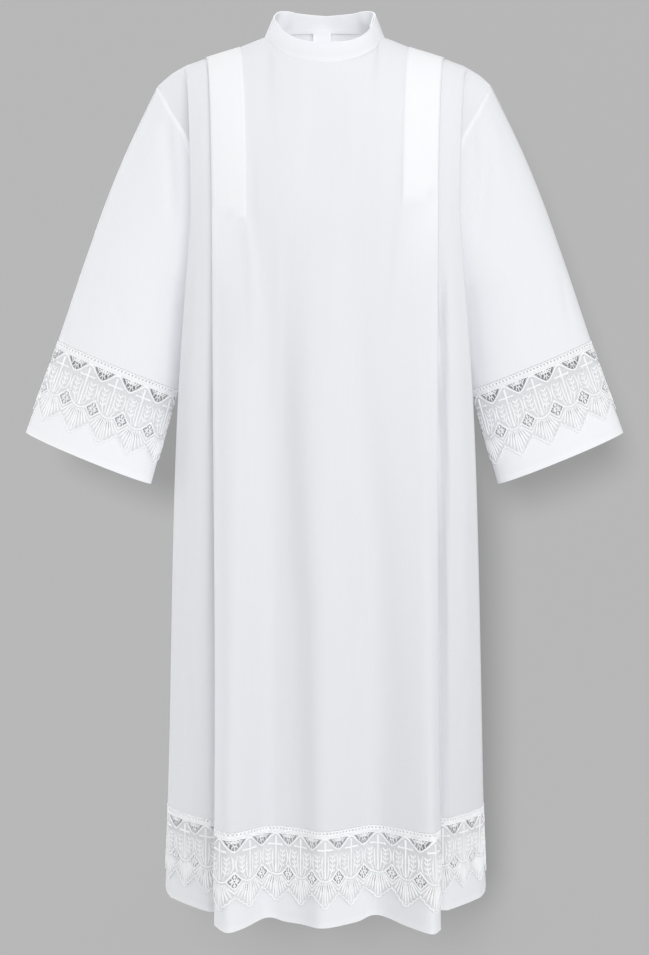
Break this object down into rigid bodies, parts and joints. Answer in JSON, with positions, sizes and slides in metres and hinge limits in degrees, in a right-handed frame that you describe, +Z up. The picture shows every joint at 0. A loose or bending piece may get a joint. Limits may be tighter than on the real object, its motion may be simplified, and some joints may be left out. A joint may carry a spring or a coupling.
{
  "type": "alb robe",
  "caption": "Ankle-length white vestment with a low stand collar, wide sleeves, stitched front tucks, and openwork lace above a plain band at hem and cuffs.",
  "frame": {"origin": "middle of the neck base, level with the points where shoulder seams and collar meet, where the wearer's neck holds the garment", "axes": "+Z up along the garment's length, -Y the garment's front, +X the right of a viewer who faces the front"},
  "size_m": [0.9576, 0.3638, 1.4301],
  "materials": {
    "plain_cloth": "matte white plain weave",
    "corded_lace": "matte white corded lace on a fine net"
  },
  "bodies": {
    "root": {"front_top": "plain_cloth", "front_middle": "plain_cloth", "front_skirt": "plain_cloth", "back_top": "plain_cloth", "back_middle": "plain_cloth", "back_skirt": "plain_cloth", "sleeve_left": "plain_cloth", "sleeve_right": "plain_cloth", "collar": "plain_cloth", "neck_label": "plain_cloth", "hem_band_front": "plain_cloth", "hem_band_back": "plain_cloth", "cuff_band_left": "plain_cloth", "cuff_band_right": "plain_cloth", "hem_lace_front": "corded_lace", "hem_lace_back": "corded_lace", "cuff_lace_left_front": "corded_lace", "cuff_lace_left_back": "corded_lace", "cuff_lace_right_front": "corded_lace", "cuff_lace_right_back": "corded_lace"}
  },
  "joints": []
}
